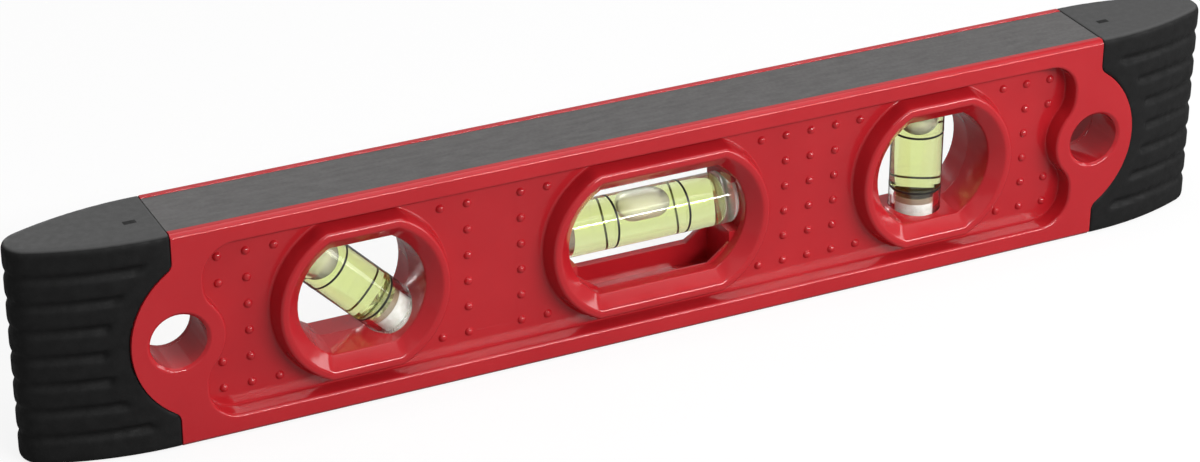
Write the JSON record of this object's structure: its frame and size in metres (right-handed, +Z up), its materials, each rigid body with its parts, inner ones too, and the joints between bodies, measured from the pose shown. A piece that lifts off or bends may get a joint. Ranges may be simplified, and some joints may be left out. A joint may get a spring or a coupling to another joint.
{
  "type": "spirit level",
  "caption": "Red moulded pocket spirit level with level, plumb and angle vials in round windows, a dark magnetic strip let into the top edge and ribbed black rubber end caps.",
  "frame": {"origin": "at the middle of the bottom edge: mid-length, mid-thickness, at the bottom face", "axes": "+X along the level towards the plumb vial's end, +Y from the front face to the back face, +Z up from the bottom edge to the magnetic edge"},
  "size_m": [0.231, 0.0168, 0.04],
  "materials": {
    "body": "smooth",
    "strip": "matte",
    "rubber": "matte",
    "clear": "clear",
    "plug": "smooth",
    "liquid": "clear",
    "ring_line": "matte"
  },
  "bodies": {
    "root": {"front_shell": "body", "back_shell": "body", "magnetic_strip": "strip", "left_end_cap": "rubber", "right_end_cap": "rubber", "level_vial_tube": "clear", "level_vial_plug": "plug", "level_vial_liquid": "liquid", "level_vial_rings": "ring_line", "plumb_vial_tube": "clear", "plumb_vial_plug": "plug", "plumb_vial_liquid": "liquid", "plumb_vial_rings": "ring_line", "angle_vial_tube": "clear", "angle_vial_plug": "plug", "angle_vial_liquid": "liquid", "angle_vial_rings": "ring_line"}
  },
  "joints": []
}
